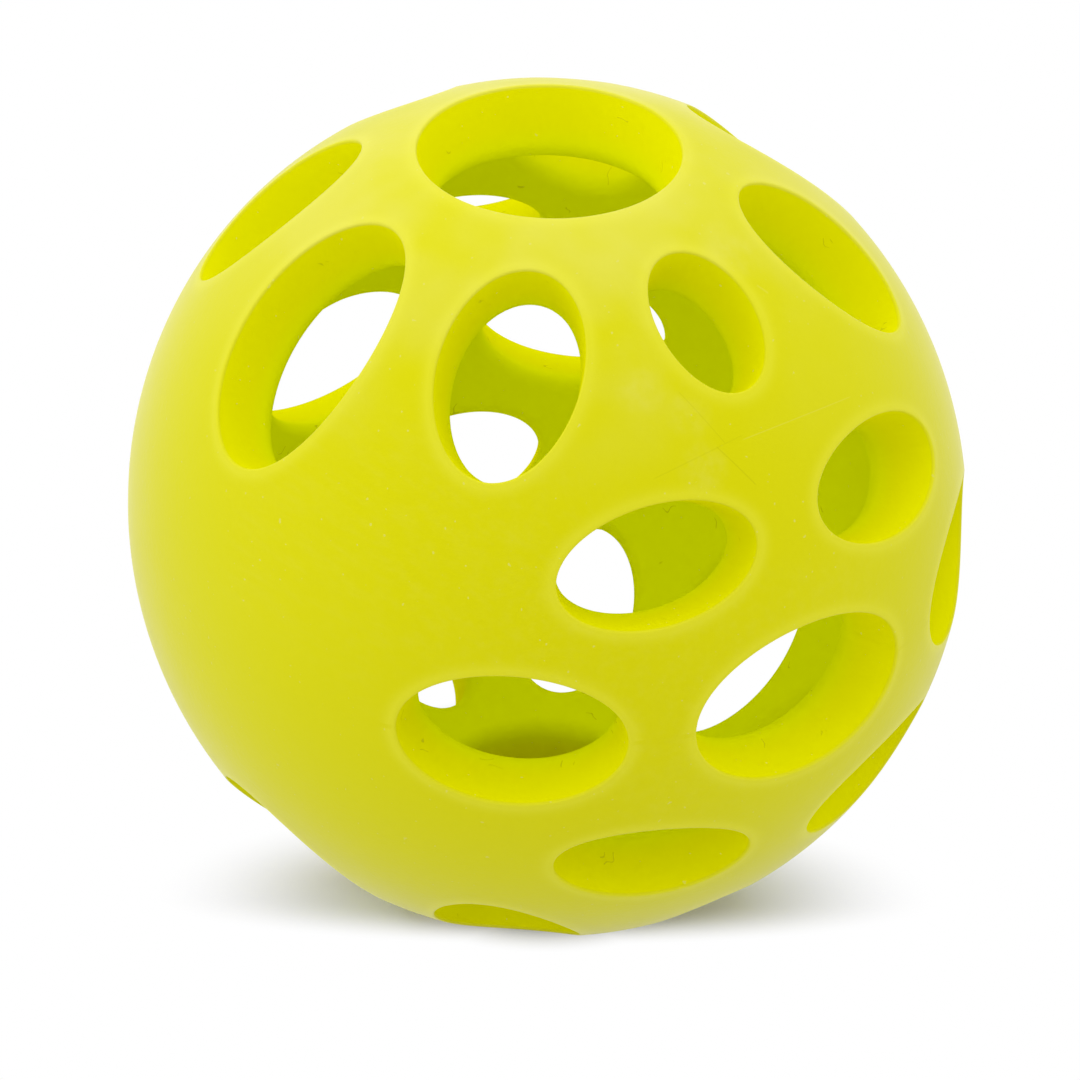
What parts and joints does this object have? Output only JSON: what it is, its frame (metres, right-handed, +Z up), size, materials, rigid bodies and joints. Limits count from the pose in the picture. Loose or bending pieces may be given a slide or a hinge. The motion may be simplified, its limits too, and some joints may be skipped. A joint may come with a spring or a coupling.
{
  "type": "rubber dog ball",
  "caption": "Hollow fetch ball of thick soft rubber, open all over with oval and round holes, made of two identical half shells cemented round the middle.",
  "frame": {"origin": "centre of the ball, on the join between the halves", "axes": "+Z up through the pole holes, +X through a hole on the join, +Y through the middle of a bare patch"},
  "size_m": [0.0748, 0.0744, 0.0734],
  "materials": {
    "rubber": "matte",
    "cement": "matte"
  },
  "bodies": {
    "root": {"upper_half_shell": "rubber", "lower_half_shell": "rubber", "bond_patch_front": "cement", "bond_patch_back": "cement", "bond_strut_right_front": "cement", "bond_strut_right_back": "cement", "bond_strut_left_front": "cement", "bond_strut_left_back": "cement"}
  },
  "joints": []
}
